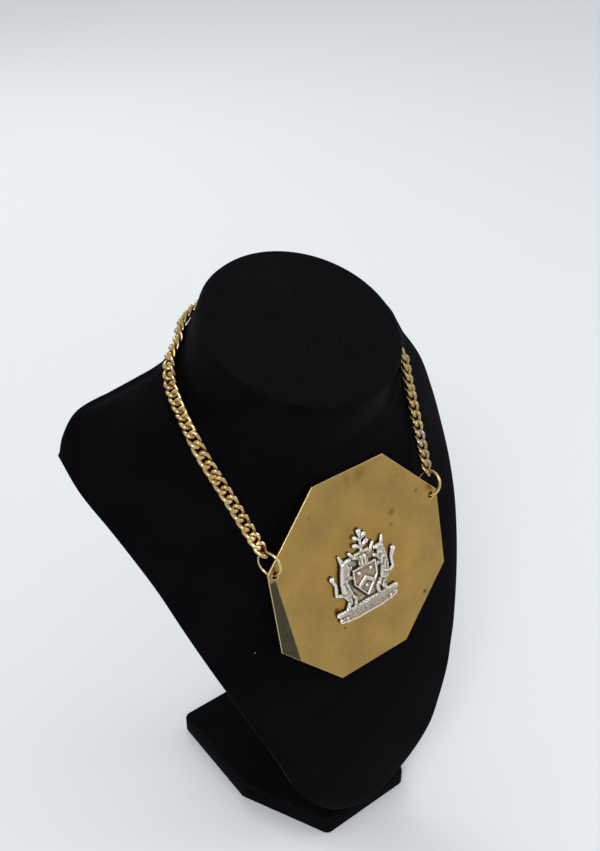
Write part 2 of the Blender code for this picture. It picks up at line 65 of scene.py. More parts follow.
# how far the rings on the top lie from its middle, and the painted highlight on the rows round its upper edge
base_lids = np.array([0.75, 0.45, 0.15])
base_edge_sheen = (0.1, 0.3, 0.45, 0.45, 0.25, 0.05)


def rounded_outline(corners, radius, arc_steps, side_steps):
    """Points and outward directions round a convex outline that turns left. Each corner is an arc that
    touches both of its sides, and each side is cut into equal steps."""
    corners = np.array(corners, float)
    before = np.roll(corners, 1, axis=0) - corners
    after = np.roll(corners, -1, axis=0) - corners
    before /= np.linalg.norm(before, axis=1, keepdims=True)
    after /= np.linalg.norm(after, axis=1, keepdims=True)
    half = np.arccos((before * after).sum(1)) / 2
    middle = (before + after) / np.linalg.norm(before + after, axis=1, keepdims=True)
    centres = corners + middle * (radius / np.sin(half))[:, None]
    start = np.arctan2(before[:, 0], -before[:, 1])
    angles = start[:, None] + np.linspace(0, 1, arc_steps + 1) * (math.pi - 2 * half)[:, None]
    arc_out = np.stack([np.cos(angles), np.sin(angles)], axis=2)
    arcs = centres[:, None] + radius * arc_out
    share = np.linspace(0, 1, side_steps + 1)[1:-1, None]
    sides = arcs[:, -1:] * (1 - share) + np.roll(arcs, -1, axis=0)[:, :1] * share
    side_out = np.repeat(arc_out[:, -1:], side_steps - 1, axis=1)
    points = np.concatenate([arcs, sides], axis=1).reshape(-1, 2)
    return points, np.concatenate([arc_out, side_out], axis=1).reshape(-1, 2)


def grid_faces(count, across, round_rows=False):
    """Quads between the points of a grid of rows. The columns run round, and the rows may join up too."""
    row = np.arange(count if round_rows else count - 1)[:, None]
    column = np.arange(across)[None]
    nearer, further = row * across, (row + 1) % count * across
    following = (column + 1) % across
    quads = [nearer + column, nearer + following, further + following, further + column]
    return np.stack(quads, axis=2).reshape(-1, 4)


def placed(name, data):
    """A new object with its mesh, lamp or camera, in the scene."""
    made = bpy.data.objects.new(name, data)
    bpy.context.scene.collection.objects.link(made)
    return made


def add_mask(mesh, mask, values):
    """Gives each point of a mesh a share that its material reads as an attribute."""
    mesh.attributes.new(mask, "FLOAT", "POINT").data.foreach_set("value", np.asarray(values, np.float32))


def shell(name, rows, finish, painted_sheen=None, round_rows=False, smooth_angle=None):
    """A mesh on a grid of rows by columns of points. The columns run round the piece. The first and last
    rows are closed with a middle point, or round_rows joins the last row to the first. The grid of painted
    sheen shares goes to the material, which paints highlight and light on the velvet with it."""
    count, across = rows.shape[:2]
    points = rows.reshape(-1, 3)
    faces = grid_faces(count, across, round_rows).tolist()
    if not round_rows:
        points = np.vstack([points, rows[0].mean(0), rows[-1].mean(0)])
        low, high, last = count * across, count * across + 1, (count - 1) * across
        column = np.arange(across)
        following = (column + 1) % across
        faces += np.stack([following, column, np.full(across, low)], axis=1).tolist()
        faces += np.stack([last + column, last + following, np.full(across, high)], axis=1).tolist()
    mesh = bpy.data.meshes.new(name)
    mesh.from_pydata(points.tolist(), [], faces)
    if painted_sheen is not None:
        add_mask(mesh, "painted_sheen", np.append(painted_sheen.reshape(-1), [0, 0]))
    mesh.materials.append(finish)
    mesh.shade_smooth()
    if smooth_angle:
        mesh.set_sharp_from_angle(angle=math.radians(smooth_angle))
    return placed(name, mesh)


def node(tree, kind, values=None, **settings):
    """A shader node with its settings and the values of its inputs, which may be other nodes' outputs."""
    made = tree.nodes.new(kind)
    for key, value in settings.items():
        setattr(made, key, value)
    for key, value in (values or {}).items():
        if isinstance(value, bpy.types.NodeSocket):
            tree.links.new(value, made.inputs[key])
        else:
            made.inputs[key].default_value = value
    return made


def noise(tree, place, scale, detail, roughness=0.5, distortion=0.0):
    """Cloudy noise from 0 to 1, with so many clouds for each unit of the place."""
    return node(tree, "ShaderNodeTexNoise", {
        "Vector": place, "Scale": scale, "Detail": detail, "Roughness": roughness, "Distortion": distortion
    }).outputs["Fac"]


def ramp(tree, value, low, high, first=0.0, last=1.0, **settings):
    """Runs from the first result to the last one while the value goes from low to high, and stays there."""
    return node(tree, "ShaderNodeMapRange", {
        "Value": value, "From Min": low, "From Max": high, "To Min": first, "To Max": last
    }, **settings).outputs["Result"]


def mix(tree, share, first, second):
    """A mixed colour between two colours or colour outputs."""
    mixed = node(tree, "ShaderNodeMix", {"Factor": share, "A": first, "B": second}, data_type="RGBA")
    return mixed.outputs["Result"]


def math_of(tree, operation, first, second=0.0, third=0.0):
    """The result of a sum, product or comparison of values."""
    return node(tree, "ShaderNodeMath", {0: first, 1: second, 2: third}, operation=operation).outputs[0]


def times(tree, first, second):
    """The product of two values."""
    return math_of(tree, "MULTIPLY", first, second)


def new_group(name, inputs, outputs):
    """An empty shader node group with named sockets, and its input and output nodes."""
    tree = bpy.data.node_groups.new(name, "ShaderNodeTree")
    for direction, sockets in (("INPUT", inputs), ("OUTPUT", outputs)):
        for socket, (kind, value) in sockets.items():
            made = tree.interface.new_socket(socket, in_out=direction, socket_type=kind)
            if direction == "INPUT":
                made.default_value = value
    return tree, tree.nodes.new("NodeGroupInput").outputs, tree.nodes.new("NodeGroupOutput").inputs


def pile_group():
    """Velvet: the pile's grain is fine noise, its lie broad noise, and lint a thin scatter of specks."""
    tree, given, out = new_group(
        "velvet_pile",
        {
            "Ground": ("NodeSocketColor", (0, 0, 0, 1)),
            "Pile": ("NodeSocketColor", (0, 0, 0, 1)),
            "Painted Sheen Colour": ("NodeSocketColor", (0, 0, 0, 1)),
            "Painted Sheen": ("NodeSocketFloat", 0.0),
            "Grain Scale": ("NodeSocketFloat", 1500.0),
            "Lie Scale": ("NodeSocketFloat", 30.0),
            "Lint": ("NodeSocketFloat", 0.05),
        },
        {"Colour": ("NodeSocketColor", None), "Height": ("NodeSocketFloat", None)},
    )
    place = node(tree, "ShaderNodeTexCoord").outputs["Object"]
    grain = noise(tree, place, given["Grain Scale"], 3.0, 0.6)
    tips = ramp(tree, grain, 0.35, 0.7)
    lie = ramp(tree, noise(tree, place, given["Lie Scale"], 4.0, 0.55), 0.3, 0.75)
    cloth = mix(tree, times(tree, tips, lie), given["Ground"], given["Pile"])
    # painted highlight and painted light: the pile's tips take the lighter third colour where the mask is
    # high
    cloth = mix(tree, times(tree, given["Painted Sheen"], tips), cloth, given["Painted Sheen Colour"])
    cells = node(tree, "ShaderNodeTexVoronoi", {"Vector": place, "Scale": 110.0})
    chance = node(tree, "ShaderNodeSeparateColor", {"Color": cells.outputs["Color"]}).outputs["Red"]
    near = math_of(tree, "LESS_THAN", cells.outputs["Distance"], 0.055)
    rare = math_of(tree, "LESS_THAN", chance, given["Lint"])
    dusty = mix(tree, times(tree, near, rare), cloth, (0.16, 0.16, 0.17, 1))
    tree.links.new(dusty, out["Colour"])
    tree.links.new(grain, out["Height"])
    return tree


def new_material(name, **constants):
    """A material, its tree and its Principled shader, with the constants on the shader's own sockets."""
    made = bpy.data.materials.new(name)
    made.use_nodes = True
    shader = made.node_tree.nodes["Principled BSDF"]
    for key, value in constants.items():
        shader.inputs[key.replace("_", " ")].default_value = value
    return made, made.node_tree, shader


def finish_with(tree, shader, colour, relief, strength, distance, roughness=None):
    """Leads a colour, a bump and, where it varies, a roughness into the shader."""
    bump = node(tree, "ShaderNodeBump", {"Height": relief, "Strength": strength, "Distance": distance})
    tree.links.new(colour, shader.inputs["Base Color"])
    tree.links.new(bump.outputs["Normal"], shader.inputs["Normal"])
    if roughness is not None:
        tree.links.new(roughness, shader.inputs["Roughness"])


def velvet(name, ground, pile, painted_sheen_colour, lint):
    """Black velvet: no gloss of its own, a sheen that wakes at its edges, a fine bump of pile, and a painted
    sheen colour where its mask paints highlight and light on the pile.
    """
    made, tree, shader = new_material(
        name,
        Roughness=0.95,
        Specular_IOR_Level=0.02,
        Sheen_Weight=0.012,
        Sheen_Roughness=0.4,
        Sheen_Tint=(0.9, 0.9, 1, 1),
    )
    # the mask read here paints highlight and light on the velvet
    painted_sheen = node(tree, "ShaderNodeAttribute", attribute_name="painted_sheen").outputs["Fac"]
    pattern = node(tree, "ShaderNodeGroup", {
        "Ground": (*ground, 1),
        "Pile": (*pile, 1),
        "Painted Sheen Colour": (*painted_sheen_colour, 1),
        "Painted Sheen": painted_sheen,
        "Lint": lint,
    }, node_tree=velvet_pile).outputs
    finish_with(tree, shader, pattern["Colour"], pattern["Height"], 0.5, 0.0003)
    return made


velvet_pile = pile_group()
# each velvet: ground and pile colours, the lighter colour of its painted highlight, and lint
base_velvet = velvet(
    "base_velvet", (0.0022, 0.0018, 0.0023), (0.0060, 0.0054, 0.0064), (0.013, 0.0125, 0.0135), 0.05
)

outline, outward = rounded_outline(base_corners, base_corner_radius, arc_steps=8, side_steps=24)
turn = np.linspace(0, math.pi / 2, base_edge_steps)
inset = base_edge_radius * np.concatenate([1 - np.sin(turn), 1 - np.cos(turn)])
# the lower edge is rounded a third as high as the upper one
low_height = base_edge_radius / 3 * (1 - np.cos(turn))
height = np.concatenate([low_height, base_thickness - base_edge_radius * (1 - np.sin(turn))])
rim_places = outline[None] - inset[:, None, None] * outward
rim_heights = np.repeat(height[:, None, None], len(outline), axis=1)
rim = np.concatenate([rim_places, rim_heights], axis=2)
middle = rim[-1].mean(0)
under_middle = middle * (1, 1, 0)
top = middle + (rim[-1] - middle) * base_lids[:, None, None]
bottom = under_middle + (rim[0] - under_middle) * base_lids[::-1, None, None]
rows = np.concatenate([bottom, rim, top])
# painted highlight: the rows round the upper edge are lightened towards the velvet's lighter colour
painted_sheen = np.zeros(len(rows))
first_painted_sheen = len(base_lids) + base_edge_steps + 1
painted_sheen[first_painted_sheen : first_painted_sheen + len(base_edge_sheen)] = base_edge_sheen
painted_sheen = np.repeat(painted_sheen[:, None], len(outline), axis=1)
base = shell("base_board", rows, base_velvet, painted_sheen, smooth_angle=70)
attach(base, "root")
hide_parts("base")


# The display form
# Chest, shoulders and neck are one moulded shell, covered in black velvet with its seams turned under
# the rim and round the neck's top. The chest's tip stands on the base and the post holds its back.

gap = 0.0003
foot = base_thickness + gap
form_height = 0.2352
form_depth = 0.117
shoulder_width = 0.2244
chest_overhang = 0.0052
chest_front = base_corners[0][1] - chest_overhang
rim_thickness = 0.009
neck_width, neck_depth = 0.0984, 0.0946
neck_axis = chest_front + 0.0689
neck_top = 0.0569
neck_slope = 0.382
neck_lean = 0.42
neck_edge = 0.0022
# shares of the half way round, from the front, at which the side and the rim lie
side_turn, rim_turn = 0.5, 0.8
# height, half width, rim, front, fullness and fall of each chest section, from the foot up
chest_sections = np.array([
    (0.000, 0.099, 0.105, 0.027, 2.4, 1.6),
    (0.012, 0.158, 0.066, 0.010, 2.4, 1.5),
    (0.034, 0.205, 0.034, 0.003, 2.4, 1.4),
    (0.077, 0.284, 0.017, 0.000, 2.4, 1.3),
    (0.149, 0.394, 0.013, 0.001, 2.4, 1.3),
    (0.218, 0.475, 0.036, 0.007, 2.4, 1.3),
    (0.300, 0.534, 0.055, 0.016, 2.4, 1.3),
    (0.358, 0.575, 0.084, 0.027, 2.4, 1.25),
    (0.417, 0.621, 0.120, 0.041, 2.4, 1.2),
    (0.520, 0.696, 0.199, 0.075, 2.3, 1.2),
    (0.609, 0.759, 0.281, 0.114, 2.2, 1.15),
    (0.690, 0.811, 0.367, 0.156, 2.1, 1.1),
    (0.766, 0.854, 0.466, 0.194, 2.0, 1.1),
    (0.830, 0.897, 0.579, 0.223, 2.0, 1.1),
    (0.887, 0.939, 0.697, 0.254, 2.0, 1.1),
    (0.942, 0.980, 0.840, 0.282, 2.0, 1.1),
    (0.988, 0.981, 1.003, 0.292, 2.0, 1.1),
])
# blend from chest to neck, and the drop below the neck's top plane at the front, side and ridge
neck_sections = np.array([
    (0.00, 0.700, 0.991, 1.336),
    (0.05, 0.686, 0.960, 1.143),
    (0.15, 0.659, 0.840, 0.980),
    (0.30, 0.614, 0.700, 0.962),
    (0.50, 0.560, 0.668, 0.945),
    (0.65, 0.497, 0.650, 0.925),
    (0.78, 0.425, 0.636, 0.850),
    (0.90, 0.318, 0.596, 0.560),
    (0.97, 0.192, 0.488, 0.305),
    (1.00, 0.000, 0.000, 0.000),
])
# painted sheen on the pile, a painted highlight where light catches the rim and the neck's top edge, and
# painted light on the neck's top, which faces up: how far behind the rim and how wide it lies, how much it is
# there and how much more below a height, and how much it is along the neck's top edge and on the neck's top
rim_sheen_turn, rim_sheen_width = 0.004, 0.016
rim_sheen, low_rim_sheen, low_rim = 0.10, 0.65, 0.11
top_edge_sheen, top_sheen = 0.09, 0.075


def through(points, steps):
    """A smooth curve through rows of values: each stretch is the cubic that passes through its two rows
    and runs there along the line between their neighbours."""
    points = np.asarray(points, float)
    ends = np.vstack([2 * points[0] - points[1], points, 2 * points[-1] - points[-2]])
    a, b, c, d = ends[:-3, None], ends[1:-2, None], ends[2:-1, None], ends[3:, None]
    t = (np.arange(steps) / steps)[None, :, None]
    curve = b + 0.5 * t * (c - a + t * (2 * a - 5 * b + 4 * c - d + t * (3 * (b - c) + d - a)))
    return np.vstack([curve.reshape(-1, points.shape[1]), points[-1:]])


def chest_outlines(rows, turns):
    """Half sections of the chest. In front, x is the half width times the sine of the way round, and y
    falls from the front to the rim as a power curve. Behind the rim it is a flat back with round edges."""
    half_width, rim, front, fullness, fall = rows[:, 1:, None].transpose(1, 0, 2)
    across = np.sin(np.minimum(turns / rim_turn, 1) * math.pi / 2)
    behind = np.maximum(turns - rim_turn, 0) / (1 - rim_turn) * math.pi / 2
    bulge = (1 - across**fullness) ** (1 / fall)
    x = shoulder_width / 2 * half_width * np.where(behind > 0, np.cos(behind) ** 0.4, across)
    y = chest_front + form_depth * (rim - (rim - front) * bulge) + rim_thickness * np.sin(behind) ** 0.4
    return x, y


def bust_rows(front_steps, back_steps, chest_steps, neck_steps):
    """All half sections of the bust from the foot to the neck's top, and the way round of each column.
    Shoulder sections blend the last chest section with the neck's oval. Their height is the neck's top
    plane less an even curve of the fourth order through the drops at the front, side and ridge."""
    front_turns = np.linspace(0, rim_turn, front_steps + 1)
    turns = np.append(front_turns, np.linspace(rim_turn, 1, back_steps + 1)[1:])
    rows = through(chest_sections, chest_steps)
    x, y = chest_outlines(rows, turns)
    z = np.repeat(foot + rows[:, :1] * form_height, len(turns), axis=1)
    chest = np.stack([x, y, z], axis=2)
    oval_x = neck_width / 2 * np.sin(turns * math.pi)
    oval_y = neck_axis - neck_depth / 2 * np.cos(turns * math.pi)
    plane = foot + form_height + neck_top + neck_slope * (oval_y - neck_axis)
    blend, front, side, ridge = through(neck_sections, neck_steps)[1:, :, None].transpose(1, 0, 2)
    known = np.linalg.inv([[side_turn**2, side_turn**4], [rim_turn**2, rim_turn**4]])
    second = known[0, 0] * (side - front) + known[0, 1] * (ridge - front)
    fourth = known[1, 0] * (side - front) + known[1, 1] * (ridge - front)
    z = plane - neck_top * (front + second * turns**2 + fourth * turns**4)
    level = z[:, front_steps : front_steps + 1] + blend**3 * (plane - plane[front_steps])
    z = np.where(turns > rim_turn + 1e-9, level, z)
    x = (1 - blend) * chest[-1, :, 0] + blend * oval_x
    y = (1 - blend) * chest[-1, :, 1] + blend * oval_y + blend * neck_lean * np.maximum(plane - z, 0)
    return np.concatenate([chest, np.stack([x, y, z], axis=2)]), turns, len(chest)


half, turns, chest_count = bust_rows(front_steps=44, back_steps=16, chest_steps=6, neck_steps=8)
neck_middle = np.array([0, neck_axis, foot + form_height + neck_top])
top_row = half[-1]
angle = np.linspace(0, math.pi / 2, 7)[1:, None, None]
shrink = 1 - neck_edge * (1 - np.cos(angle)) / (neck_width / 2)
edge_rows = neck_middle + (top_row - neck_middle) * shrink + neck_edge * (np.sin(angle) - 1) * (0, 0, 1)
half[-1] = top_row - (0, 0, neck_edge)
inward = np.linspace(1, 0.04, 14)[1:, None, None]
lid_rows = neck_middle + (edge_rows[-1] - neck_middle) * inward
first_edge = len(half)
half = np.concatenate([half, edge_rows, lid_rows])
whole = np.concatenate([half, half[:, -2:0:-1] * (-1, 1, 1)], axis=1)
rounds = np.concatenate([turns, turns[-2:0:-1]])
row_number = np.arange(len(whole))[:, None]
in_chest = row_number < chest_count
# painted highlight along the chest's rim, stronger low down, and painted light on the neck's top edge and top
low_part = np.clip(1.25 - whole[:, :, 2] / low_rim, 0, 1) * in_chest
from_rim = (rounds - rim_turn - rim_sheen_turn) / rim_sheen_width
rim_line = np.exp(-(from_rim**2)) * (rim_sheen + low_rim_sheen * low_part) * in_chest
on_edge = (row_number >= first_edge) & (row_number < first_edge + len(edge_rows))
on_top = row_number >= first_edge + len(edge_rows) - 1
painted_sheen = np.maximum(rim_line, np.maximum(top_edge_sheen * on_edge, top_sheen * on_top))
# the third colour is the lighter colour of the painted highlight and painted light
bust_velvet = velvet(
    "bust_velvet", (0.0020, 0.0016, 0.0021), (0.0054, 0.0047, 0.0058), (0.050, 0.051, 0.055), 0.045
)
bust = shell("velvet_bust", whole, bust_velvet, painted_sheen, smooth_angle=60)
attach(bust, "root")
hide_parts("neck_form")


# The post
# A plain strip of black-stained softwood holds the chest up from behind. It is glued to the base and to
# the chest's back, and nothing of it shows from the front.

stain, tree, shader = new_material("stained_wood", Roughness=0.6, Specular_IOR_Level=0.3)
place = node(tree, "ShaderNodeTexCoord").outputs["Object"]
stretched = node(tree, "ShaderNodeMapping", {"Vector": place, "Scale": (260.0, 260.0, 9.0)}).outputs["Vector"]
grain = noise(tree, stretched, 1.0, 5.0, distortion=0.4)
tone = mix(tree, grain, (0.006, 0.005, 0.005, 1), (0.030, 0.024, 0.021, 1))
finish_with(tree, shader, tone, grain, 0.4, 0.0003, ramp(tree, grain, 0.0, 1.0, 0.45, 0.75))
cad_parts["stand_post"].data.materials.clear()
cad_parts["stand_post"].data.materials.append(stain)


# The plate
# Eight-sided gilt brass sheet, cut straight and filed smooth along its edges, with a drilled hole near
# each upper side corner. The gilding has gone mottled, and a strip at the wearer's right is painted dark as a
# painted reflection.

plate_wide, plate_tall, plate_flat = 0.055, 0.056, 0.0223
plate_thickness = 0.0012
plate_corner_radius = 0.0006
plate_lean = math.radians(14.09)
plate_low, plate_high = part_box("gorget_plate")
plate_middle = (np.array(plate_low) + np.array(plate_high)) / 2
plate_right = np.array([1.0, 0, 0])
plate_up = np.array([0, math.sin(plate_lean), math.cos(plate_lean)])
plate_out = np.cross(plate_right, plate_up)
hole_places = [(-0.0508, 0.0203), (0.0508, 0.0203)]
hole_radius = 0.0018
edge_round = 0.00032
# red-brown and dark spots: centre, radius and soft edge in millimetres from the plate's middle, then
# strength and colour
plate_spots = (
    ((-19.6, -15.8), 0.9, 1.3, 0.85, (0.16, 0.035, 0.012, 1)),
    ((39.0, -33.4), 0.7, 1.0, 0.85, (0.10, 0.03, 0.015, 1)),
    ((41.0, 27.3), 0.4, 1.2, 0.55, (0.08, 0.06, 0.02, 1)),
    ((23.4, 22.4), 0.9, 2.2, 0.5, (0.11, 0.06, 0.02, 1)),
    ((22.0, 15.5), 0.5, 1.4, 0.45, (0.12, 0.05, 0.015, 1)),
    ((-16.0, -27.9), 0.3, 0.8, 0.7, (0.06, 0.035, 0.015, 1)),
    ((6.3, 51.5), 0.8, 5.0, 0.45, (0.19, 0.09, 0.022, 1)),
    ((-1.5, 52.0), 0.5, 3.5, 0.35, (0.19, 0.10, 0.03, 1)),
    ((50.0, 26.4), 0.6, 3.4, 0.7, (0.30, 0.11, 0.015, 1)),
    ((-50.6, 22.2), 0.3, 2.4, 0.6, (0.28, 0.11, 0.02, 1)),
    ((-27.0, 41.0), 0.2, 1.2, 0.4, (0.12, 0.08, 0.03, 1)),
    ((30.0, 40.5), 0.2, 0.9, 0.4, (0.12, 0.08, 0.03, 1)),
)


def on_plate(points):
    """Points across, up and outward from the plate's middle, set into the object's own axes."""
    return plate_middle + points @ np.stack([plate_right, plate_up, plate_out])


def edge_profile(radius, half, steps):
    """Inset and height of a sheet's edge: a quarter circle, a straight wall and a quarter circle."""
    angle = np.linspace(0, math.pi / 2, steps)
    inset = radius * np.concatenate([1 - np.sin(angle), 1 - np.cos(angle)])
    height = np.concatenate([half - radius * (1 - np.cos(angle)), -half + radius * (1 - np.sin(angle))])
    return inset, height


def wall(points, outward, inset, height):
    """A band that carries the edge profile along an outline."""
    flat = points[None] - inset[:, None, None] * outward
    return np.concatenate([flat, np.repeat(height[:, None, None], len(points), axis=1)], axis=2)


def plate_mesh():
    """The plate's walls are profiles carried along the outline and the holes. Its two faces fill them."""
    corners = [(plate_wide, plate_flat), (plate_flat, plate_tall)]
    corners += [(-x, y) for x, y in corners[::-1]]
    corners += [(-x, -y) for x, y in corners]
    inset, height = edge_profile(edge_round, plate_thickness / 2, steps=5)
    turns = np.linspace(0, 2 * math.pi, 48, endpoint=False)
    circle = np.stack([np.cos(turns), np.sin(turns)], axis=1)
    outline, outward = rounded_outline(corners, plate_corner_radius, arc_steps=3, side_steps=8)
    bands = [wall(outline, outward, inset, height)]
    bands += [wall(np.array(hole) + hole_radius * circle, -circle, inset, height) for hole in hole_places]
    starts = np.cumsum([0] + [len(band) * band.shape[1] for band in bands])
    faces = [grid_faces(*band.shape[:2]) + start for band, start in zip(bands, starts)]
    mesh = bpy.data.meshes.new("brass_plate")
    local = np.concatenate([band.reshape(-1, 3) for band in bands])
    mesh.from_pydata(local.tolist(), [], np.concatenate(faces).tolist())
    sheet = bmesh.new()
    sheet.from_mesh(mesh)
    walls = list(sheet.faces)
    for side in (1, -1):
        level = side * plate_thickness / 2
        rims = [edge for edge in sheet.edges if edge.is_boundary and abs(edge.verts[0].co.z - level) < 1e-7]
        for edge in rims:
            edge.smooth = False
        bmesh.ops.triangle_fill(sheet, edges=rims, use_beauty=True, normal=(0, 0, side))
    for face in walls:
        face.smooth = True
    bmesh.ops.recalc_face_normals(sheet, faces=sheet.faces)
    sheet.to_mesh(mesh)
    sheet.free()
    in_millimetres = (local * 1000).astype(np.float32)
    mesh.attributes.new("sheet", "FLOAT_VECTOR", "POINT").data.foreach_set("vector", in_millimetres.ravel())
    mesh.vertices.foreach_set("co", on_plate(local).astype(np.float32).ravel())
    return mesh


def spot(tree, place, centre, radius, softness):
    """A round mask on the sheet, 1 inside its radius in millimetres and 0 past its soft edge."""
    on_front = (*centre, 1000 * plate_thickness / 2)
    away = node(tree, "ShaderNodeVectorMath", {0: place, 1: on_front}, operation="DISTANCE").outputs["Value"]
    return ramp(tree, away, radius + softness, radius, interpolation_type="SMOOTHSTEP")


def gilt_group():
    """Old gilding: broad clouds of thicker and thinner gold, fine mottle and pin-prick pits."""
    tree, given, out = new_group(
        "old_gilding",
        {
            "Place": ("NodeSocketVector", (0, 0, 0)),
            "Gold": ("NodeSocketColor", (0, 0, 0, 1)),
            "Thin Gold": ("NodeSocketColor", (0, 0, 0, 1)),
            "Pit": ("NodeSocketColor", (0, 0, 0, 1)),
            "Cloud Scale": ("NodeSocketFloat", 1.0),
            "Mottle Scale": ("NodeSocketFloat", 1.0),
            "Pits": ("NodeSocketFloat", 0.1),
        },
        {
            "Colour": ("NodeSocketColor", None),
            "Roughness": ("NodeSocketFloat", None),
            "Height": ("NodeSocketFloat", None),
        },
    )
    place, mottle_scale = given["Place"], given["Mottle Scale"]
    clouds = ramp(tree, noise(tree, place, given["Cloud Scale"], 3.0), 0.35, 0.65)
    mottle = noise(tree, place, mottle_scale, 6.0, 0.65)
    thick = node(tree, "ShaderNodeMix", {
        "Factor": 0.26, "A": clouds, "B": ramp(tree, mottle, 0.3, 0.72)
    }, data_type="FLOAT").outputs["Result"]
    gold = mix(tree, thick, given["Thin Gold"], given["Gold"])
    pricks = ramp(tree, noise(tree, place, times(tree, mottle_scale, 5.0), 2.0), 0.66, 0.74)
    gold = mix(tree, times(tree, pricks, given["Pits"]), gold, given["Pit"])
    tree.links.new(gold, out["Colour"])
    tree.links.new(ramp(tree, thick, 0.0, 1.0, 0.42, 0.27), out["Roughness"])
    tree.links.new(mottle, out["Height"])
    return tree


old_gilding = gilt_group()
plate_gilt, tree, shader = new_material("plate_gilt", Metallic=1.0)
sheet_place = node(tree, "ShaderNodeAttribute", attribute_name="sheet").outputs["Vector"]
gilding = node(tree, "ShaderNodeGroup", {
    "Place": sheet_place,
    "Gold": (0.450, 0.276, 0.077, 1),
    "Thin Gold": (0.325, 0.207, 0.066, 1),
    "Pit": (0.09, 0.055, 0.02, 1),
    "Cloud Scale": 0.045,
    "Mottle Scale": 0.30,
    "Pits": 0.35,
}, node_tree=old_gilding).outputs
# the gold is deeper round the coat of arms, where polish never reached
deeper = times(tree, spot(tree, sheet_place, (0.0, -2.0), 18.0, 17.0), 0.5)
colour = mix(tree, deeper, gilding["Colour"], (0.400, 0.226, 0.040, 1))
for centre, radius, softness, strength, tint in plate_spots:
    share = times(tree, spot(tree, sheet_place, centre, radius, softness), strength)
    colour = mix(tree, share, colour, tint)
# the strip with the painted dark reflection lies to the left of a slanting line from under the left hole to
# the lower corner
parts = node(tree, "ShaderNodeSeparateXYZ", {"Vector": sheet_place}).outputs
slant = math_of(tree, "MULTIPLY_ADD", parts["Y"], -0.123, -48.95)
beyond = math_of(tree, "SUBTRACT", slant, parts["X"])
ragged = math_of(tree, "MULTIPLY_ADD", noise(tree, sheet_place, 0.35, 3.0), 0.5, beyond)
below = ramp(tree, parts["Y"], 18.6, 16.8)
in_front = ramp(tree, parts["Z"], 0.45, 0.58)
painted_dark_reflection = times(tree, times(tree, ramp(tree, ragged, 0.15, 0.65), below), in_front)
# painted reflection: the strip is painted a streaky dark brown
streaks = noise(tree, sheet_place, 0.12, 4.0)
painted_dark_reflection_tone = mix(tree, streaks, (0.036, 0.030, 0.018, 1), (0.092, 0.078, 0.046, 1))
colour = mix(tree, painted_dark_reflection, colour, painted_dark_reflection_tone)
# the filed edges are painted pale and bright: their bare filed metal, and a painted highlight along them
filed_edge_and_highlight = ramp(tree, math_of(tree, "ABSOLUTE", parts["Z"]), 0.595, 0.54)
colour = mix(tree, times(tree, filed_edge_and_highlight, 0.85), colour, (0.86, 0.66, 0.34, 1))
finish_with(tree, shader, colour, gilding["Height"], 0.10, 0.0002, gilding["Roughness"])

plate = placed("brass_plate", plate_mesh())
plate.data.materials.append(plate_gilt)
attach(plate, "root")
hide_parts("gorget_plate")


# The coat of arms
# One thin silver casting, riveted to the plate from behind: a shield with a chevron between two rampant
# beasts, a helm with a sprig above it and a blank ribbon below. High parts are worn bright.

arms_height = 0.051
arms_drop = 0.0017
arms_cell = 0.00019
arms_slab = 0.0009
arms_fullness = 0.75
# limbs of balls: across, up and radius as shares of the height. Those of the sides are mirrored.
arms_middle = (
    ((0.0, 0.130, 0.062), (0.0, 0.165, 0.058)),
    ((-0.075, 0.225, 0.020), (0.075, 0.225, 0.020)),
    ((0.0, 0.225, 0.022), (0.0, 0.400, 0.018), (0.0, 0.465, 0.032)),
)
arms_side = (
    ((0.006, 0.290, 0.018), (0.075, 0.330, 0.028)),
    ((0.006, 0.370, 0.016), (0.062, 0.415, 0.026)),
    ((0.055, 0.190, 0.026), (0.115, 0.215, 0.026), (0.150, 0.275, 0.020)),
    ((0.245, -0.130, 0.064), (0.262, -0.020, 0.054), (0.240, 0.085, 0.064), (0.232, 0.175, 0.050)),
    ((0.235, 0.195, 0.046), (0.165, 0.210, 0.027)),
    ((0.255, 0.225, 0.027), (0.278, 0.295, 0.014)),
    ((0.225, 0.095, 0.036), (0.155, 0.120, 0.022)),
    ((0.225, 0.035, 0.034), (0.150, 0.005, 0.022)),
    ((0.255, -0.150, 0.048), (0.210, -0.235, 0.028), (0.255, -0.320, 0.028)),
    ((0.235, -0.130, 0.040), (0.145, -0.235, 0.024), (0.155, -0.330, 0.024)),
    ((0.285, -0.140, 0.026), (0.368, -0.110, 0.020), (0.360, 0.010, 0.020), (0.395, 0.095, 0.032)),
)
arms_mound = (((0.0, -0.350, 0.050), (0.200, -0.355, 0.046), (0.365, -0.335, 0.036)),)
arms_ribbon = (((0.0, -0.430, 0.036), (0.180, -0.432, 0.034), (0.350, -0.405, 0.030)),)
arms_shield = ((-0.152, 0.092), (0.152, 0.092), (0.152, -0.080), (0.0, -0.271), (-0.152, -0.080))
# thin metal between the limbs: half its outline from the top down
arms_web_relief = 0.0006
arms_web = ((0.105, 0.250), (0.175, 0.150), (0.235, 0.0), (0.215, -0.200), (0.250, -0.330))
# leaf scrolls chased on that metal: across, up and radius
arms_scrolls = (
    (0.185, 0.145, 0.055),
    (0.165, -0.070, 0.045),
    (0.185, -0.190, 0.045),
    (0.095, 0.185, 0.04),
    (0.075, -0.275, 0.04),
)
# depths of the chasing and of raised parts, as shares of the height
fur_depth, bar_depth, scroll_depth, leaf_depth, vein_depth = 0.0050, 0.007, 0.010, 0.009, 0.004
ribbon_rise, ribbon_edge_rise, fold_rise = 0.014, 0.010, 0.012
shield_rise = 0.016
# the helm's bars: their low and high ends and half the width of the row
bars_low, bars_high, bars_half = 0.105, 0.170, 0.050
# the ribbon's edge and its folds: widths, and how far the folds lie from the middle
ribbon_edge, fold_half, fold_place = 0.010, 0.012, 0.285
